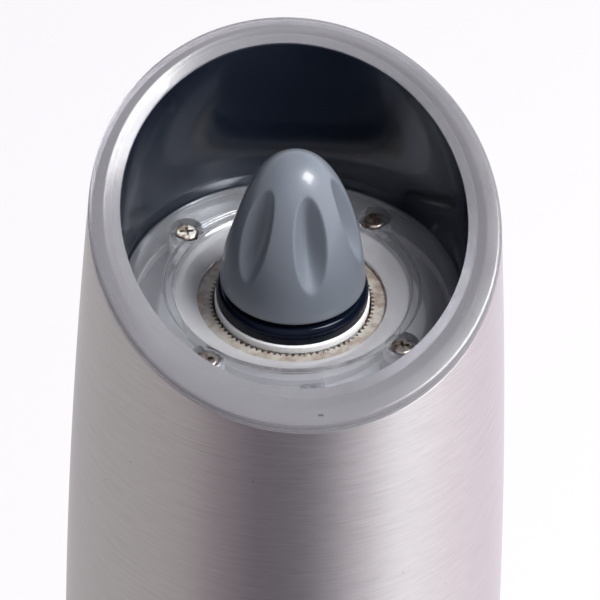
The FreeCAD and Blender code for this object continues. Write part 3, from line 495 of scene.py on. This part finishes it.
def make_mouth_wall():
    """Polished dark lining of the mouth, with the ledge under the disc."""
    top = LIP_AXIS - WALL_DROP - SEAM
    bore = MOUTH_R - 0.05 * MM
    ledge_r = 21.6 * MM
    ledge_z = WALL_FOOT + 1.65 * MM

    def corners(turn):
        slope = SLANT * sin(turn)
        return [
            (bore, top + slope * bore, EDGE), (WALL_R, top + slope * WALL_R, EDGE),
            (WALL_R, WALL_FOOT, EDGE), (ledge_r, WALL_FOOT, EDGE),
            (ledge_r, ledge_z, EDGE), (bore, ledge_z, 2 * EDGE)]

    piece = finish_mesh("mouth_lining", slanted(corners), "head", ["mouth_wall"])
    paint(piece, WALL_GLOSS)


def cut_away(piece, bm, matrix):
    """Takes the bmesh's shape out of a piece and applies the cut."""
    bmesh.ops.transform(bm, matrix=matrix, verts=bm.verts)
    mesh = bpy.data.meshes.new("cutter")
    bm.to_mesh(mesh)
    bm.free()
    cutter = bpy.data.objects.new("cutter", mesh)
    bpy.context.scene.collection.objects.link(cutter)
    cut = piece.modifiers.new("cut", "BOOLEAN")
    cut.operation = "DIFFERENCE"
    cut.solver = "EXACT"
    cut.object = cutter
    with bpy.context.temp_override(object=piece, active_object=piece):
        bpy.ops.object.modifier_apply(modifier=cut.name)
    bpy.data.objects.remove(cutter)


def cut_holes(piece, radius, low, high):
    """Bores four round holes on the screw circle."""
    for turn in map(radians, SCREW_ANGLES):
        at = (SCREW_CIRCLE_R * cos(turn), SCREW_CIRCLE_R * sin(turn), (low + high) / 2)
        bm = bmesh.new()
        bmesh.ops.create_cone(bm, cap_ends=True, segments=48, radius1=radius, radius2=radius,
                              depth=high - low)
        cut_away(piece, bm, Matrix.Translation(at))


def cut_box(piece, at, size, turn):
    """Cuts a small rectangular mark."""
    bm = bmesh.new()
    bmesh.ops.create_cube(bm, size=1.0)
    place = Matrix.Translation(at) @ Matrix.Rotation(turn, 4, "Z")
    cut_away(piece, bm, place @ Matrix.Diagonal((*size, 1.0)))


def make_light_disc():
    """Clear disc: bevelled edge, flat ring with the screws, and a dish in steps to the burr."""
    top = DISC_TOP
    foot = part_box("light_disc")[0][2]
    bore_r = 13.0 * MM
    seat_r = 14.9 * MM
    seat_z = foot + 0.75 * MM
    groove_z = top - 0.4 * MM
    head_r = 2.3 * MM
    shank_r = 1.2 * MM
    overshoot = 1.0 * MM
    outline = rounded([
        (bore_r, seat_z, EDGE), (bore_r, top - 2.3 * MM, 0.2 * MM),
        (15.0 * MM, top - 1.5 * MM, 0.4 * MM), (16.1 * MM, top - 1.2 * MM, 0.2 * MM),
        (16.4 * MM, groove_z, 0.2 * MM), (17.4 * MM, groove_z, 0.15 * MM),
        (17.7 * MM, top, 0.2 * MM), (22.0 * MM, top, 0.3 * MM),
        (DISC_R, top - 0.7 * MM, 0.2 * MM), (DISC_R, foot, EDGE),
        (seat_r, foot, EDGE), (seat_r, seat_z, EDGE)])
    piece = finish_mesh("light_disc_clear", lathe(outline), "head", ["light_disc"])
    cut_holes(piece, head_r, top - 1.4 * MM, top + overshoot)
    cut_holes(piece, shank_r, foot - overshoot, top)
    soften(piece.data, CREASE)
    paint(piece, DISC_CLEAR, DISC_HAZY)
    for face in piece.data.polygons:
        middle = face.center
        face.material_index = 1 if hypot(middle.x, middle.y) < DISH_R else 0


def make_retainer_ring():
    """Black ring under the knob, with a rounded shoulder and a bore for the spindle."""
    bore_r = 4.4 * MM
    neck_r = 9.95 * MM
    shoulder = RING_BOTTOM + 1.7 * MM
    outline = rounded([
        (bore_r, RING_BOTTOM, EDGE), (RING_R, RING_BOTTOM, 0.15 * MM),
        (RING_R, shoulder, 0.35 * MM), (neck_r, RING_TOP, 0.3 * MM), (bore_r, RING_TOP, EDGE)])
    piece = finish_mesh("retainer_ring_gloss", lathe(outline), "burr", ["retainer_ring"])
    paint(piece, BLACK_GLOSS)


# ---------------------------------------------------------------- knob
KNOB_HEIGHT = KNOB_TIP - KNOB_BASE
FLUTE_LOW = 5.6 * MM
FLUTE_HIGH = 18.8 * MM
FLUTE_DEPTH = 2.6 * MM
FLUTE_HALF_WIDTH = 2.3 * MM
FLUTE_WIDEST = (FLUTE_LOW + FLUTE_HIGH) / 2 - 0.6 * MM
FLUTE_SOFTNESS = 0.003
NOSE_POWER = 1.42
SIDE_POWER = 0.419


def knob_radius(height):
    """Bullet outline: full at the skirt, with a round nose."""
    share = min(1.0, max(0.0, height / KNOB_HEIGHT))
    return KNOB_R * (1 - share ** NOSE_POWER) ** SIDE_POWER


def flute_depth(height, turn, radius):
    """Depth of the nearest flute: a hollow with pointed ends and softly rounded lips."""
    along = (height - FLUTE_WIDEST) / (FLUTE_HIGH - FLUTE_LOW) * 2
    pitch = 2 * pi / FLUTES
    away = (turn - FLUTE_PHASE + pitch / 2) % pitch - pitch / 2
    across = away * radius / FLUTE_HALF_WIDTH
    fill = 1.0 - along * along - across * across
    softened = (fill + sqrt(fill * fill + FLUTE_SOFTNESS)) / 2
    return FLUTE_DEPTH * max(0.0, softened - FLUTE_SOFTNESS / 2)


def make_knob():
    """Fluted bullet on a short neck, with a blind bore for its insert."""
    count = 360
    levels = 90
    crease = 50
    edge = 0.25 * MM
    neck_r = 9.0 * MM
    bore_r = 4.3 * MM
    bore_top = KNOB_BASE + 13.0 * MM
    narrowest = 3 * MM
    pinhole = 0.01 * MM
    sections = []
    for index in range(count):
        turn = 2 * pi * index / count
        points = [(bore_r, KNOB_FOOT), (neck_r, KNOB_FOOT), (neck_r, KNOB_BASE),
                  (KNOB_R - edge, KNOB_BASE)]
        for step in range(levels + 1):
            height = edge + (KNOB_HEIGHT - edge) * sin(pi / 2 * step / levels)
            radius = knob_radius(height)
            depth = flute_depth(height, turn, max(radius, narrowest))
            least = pinhole if step == levels else 0.0
            points.append((max(radius - depth, least), KNOB_BASE + height))
        points += [(pinhole, bore_top), (bore_r, bore_top)]
        sections.append([(r * cos(turn), r * sin(turn), z) for r, z in points])
    piece = finish_mesh("adjuster_knob_fluted", swept(sections), "knob", ["adjuster_knob"], crease)
    paint(piece, KNOB_GREY)


make_head_sleeve()
make_base_sleeve()
make_mouth_ring()
make_mouth_wall()
make_light_disc()
make_retainer_ring()
make_knob()

PLAIN_CREASE = 30
for node in NODE_MATERIALS:
    soften(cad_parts[node].data, PLAIN_CREASE)


# ---------------------------------------------------------------- stage, light and camera
def make_floor():
    """Paper that glows a little, so that it stays white, and that shines in nothing."""
    bm = bmesh.new()
    bmesh.ops.create_grid(bm, x_segments=1, y_segments=1, size=6.0)
    mesh = bpy.data.meshes.new("floor")
    bm.to_mesh(mesh)
    bm.free()
    floor = bpy.data.objects.new("floor", mesh)
    bpy.context.scene.collection.objects.link(floor)
    floor.visible_glossy = False
    s = Shader("floor_paper")
    s.set(Base_Color=(0.30, 0.295, 0.30), Roughness=0.9, Specular_IOR_Level=0.1)
    s.set(Emission_Color=(0.93, 0.915, 0.93), Emission_Strength=0.66)
    floor.data.materials.append(s.material)


# Brightness of the surroundings near the floor, by angle from -Y towards +X.
CARDS = (
    (-180, (0.95, 0.93, 0.97)),
    (-150, (0.60, 0.57, 0.58)),
    (-92, (0.55, 0.53, 0.52)),
    (-60, (0.50, 0.46, 0.46)),
    (-42, (0.30, 0.26, 0.28)),
    (-22, (0.17, 0.15, 0.175)),
    (0, (0.17, 0.16, 0.18)),
    (14, (0.30, 0.28, 0.30)),
    (28, (0.60, 0.56, 0.61)),
    (52, (1.20, 1.18, 1.21)),
    (84, (1.12, 1.04, 1.10)),
    (110, (1.05, 0.94, 1.02)),
    (150, (1.08, 1.02, 1.12)),
    (180, (0.95, 0.93, 0.97)),
)
SKY_DIM = (0.19, 0.195, 0.22)
SKY_BRIGHT = (0.62, 0.61, 0.68)
SKY_START, SKY_FULL = 0.10, 0.60          # height in the surroundings where the sky takes over
BRIGHT_SIDE = (0.75, -0.55, 0.1)          # direction of the sky's brighter side
DIM_UP_TO, BRIGHT_FROM = -0.5, 0.6


def make_world():
    """Soft surroundings: cards of different brightness round the mill, and a sky brighter on one side."""
    world = bpy.data.worlds.new("studio")
    bpy.context.scene.world = world
    world.use_nodes = True
    tree = world.node_tree
    background = tree.nodes["Background"]
    place = tree.nodes.new("ShaderNodeTexCoord")
    split = tree.nodes.new("ShaderNodeSeparateXYZ")
    tree.links.new(place.outputs["Generated"], split.inputs[0])
    turn = tree.nodes.new("ShaderNodeMath")
    turn.operation = "ARCTAN2"
    tree.links.new(split.outputs["X"], turn.inputs[0])
    flip = tree.nodes.new("ShaderNodeMath")
    flip.operation = "MULTIPLY"
    flip.inputs[1].default_value = -1.0
    tree.links.new(split.outputs["Y"], flip.inputs[0])
    tree.links.new(flip.outputs[0], turn.inputs[1])
    share = tree.nodes.new("ShaderNodeMapRange")
    share.inputs["From Min"].default_value = -pi
    share.inputs["From Max"].default_value = pi
    tree.links.new(turn.outputs[0], share.inputs["Value"])
    cards = tree.nodes.new("ShaderNodeValToRGB")
    cards.color_ramp.interpolation = "EASE"
    while len(cards.color_ramp.elements) > 1:
        cards.color_ramp.elements.remove(cards.color_ramp.elements[0])
    cards.color_ramp.elements[0].position = 0.0
    for index, (angle, colour) in enumerate(CARDS):
        at = (angle + 180.0) / 360.0
        stop = cards.color_ramp.elements.new(at) if index else cards.color_ramp.elements[0]
        stop.color = colour + (1.0,)
    tree.links.new(share.outputs["Result"], cards.inputs["Fac"])
    height = tree.nodes.new("ShaderNodeMapRange")
    height.interpolation_type = "SMOOTHSTEP"
    height.inputs["From Min"].default_value = SKY_START
    height.inputs["From Max"].default_value = SKY_FULL
    tree.links.new(split.outputs["Z"], height.inputs["Value"])
    mix = tree.nodes.new("ShaderNodeMix")
    mix.data_type = "RGBA"
    tree.links.new(height.outputs["Result"], mix.inputs["Factor"])
    tree.links.new(cards.outputs["Color"], mix.inputs[MIX_FIRST])
    side = tree.nodes.new("ShaderNodeVectorMath")
    side.operation = "DOT_PRODUCT"
    side.inputs[1].default_value = BRIGHT_SIDE
    tree.links.new(place.outputs["Generated"], side.inputs[0])
    sky = tree.nodes.new("ShaderNodeMapRange")
    sky.interpolation_type = "SMOOTHSTEP"
    sky.inputs["From Min"].default_value = DIM_UP_TO
    sky.inputs["From Max"].default_value = BRIGHT_FROM
    tree.links.new(side.outputs["Value"], sky.inputs["Value"])
    dome = tree.nodes.new("ShaderNodeMix")
    dome.data_type = "RGBA"
    tree.links.new(sky.outputs["Result"], dome.inputs["Factor"])
    dome.inputs[MIX_FIRST].default_value = SKY_DIM + (1.0,)
    dome.inputs[MIX_SECOND].default_value = SKY_BRIGHT + (1.0,)
    tree.links.new(dome.outputs[MIX_RESULT], mix.inputs[MIX_SECOND])
    tree.links.new(mix.outputs[MIX_RESULT], background.inputs["Color"])
    background.inputs["Strength"].default_value = 1.0


def make_window():
    """Soft light from high on the right, aimed at the middle of the disc."""
    at = Vector((0.58, -0.26, 1.10))
    data = bpy.data.lights.new("window", "AREA")
    data.shape = "RECTANGLE"
    data.size, data.size_y = 0.50, 0.50
    data.energy = 17.0
    lamp = bpy.data.objects.new("window", data)
    lamp.location = at
    lamp.rotation_euler = (Vector((0.0, 0.0, DISC_TOP)) - at).to_track_quat("-Z", "Y").to_euler()
    lamp.visible_camera = False
    bpy.context.scene.collection.objects.link(lamp)


def make_camera():
    """Long lens, looking down on the mouth from the low side."""
    azimuth = radians(-8.22)
    elevation = radians(41.02)
    distance = 0.45
    roll = radians(1.75)
    data = bpy.data.cameras.new("camera")
    data.sensor_width = 36.0
    data.lens = 197.4
    data.shift_x = 0.0125
    data.shift_y = -0.0253
    data.clip_start = 0.01
    camera = bpy.data.objects.new("camera", data)
    target = Vector((0.0, 0.0, DISC_TOP))
    away = Vector((sin(azimuth) * cos(elevation), -cos(azimuth) * cos(elevation), sin(elevation)))
    camera.location = target + away * distance
    look = (-away).to_track_quat("-Z", "Y")
    camera.rotation_euler = (look.to_matrix() @ Matrix.Rotation(roll, 3, "Z")).to_euler()
    bpy.context.scene.collection.objects.link(camera)
    bpy.context.scene.camera = camera


make_floor()
make_world()
make_window()
make_camera()

bpy.context.scene.view_settings.view_transform = "Standard"
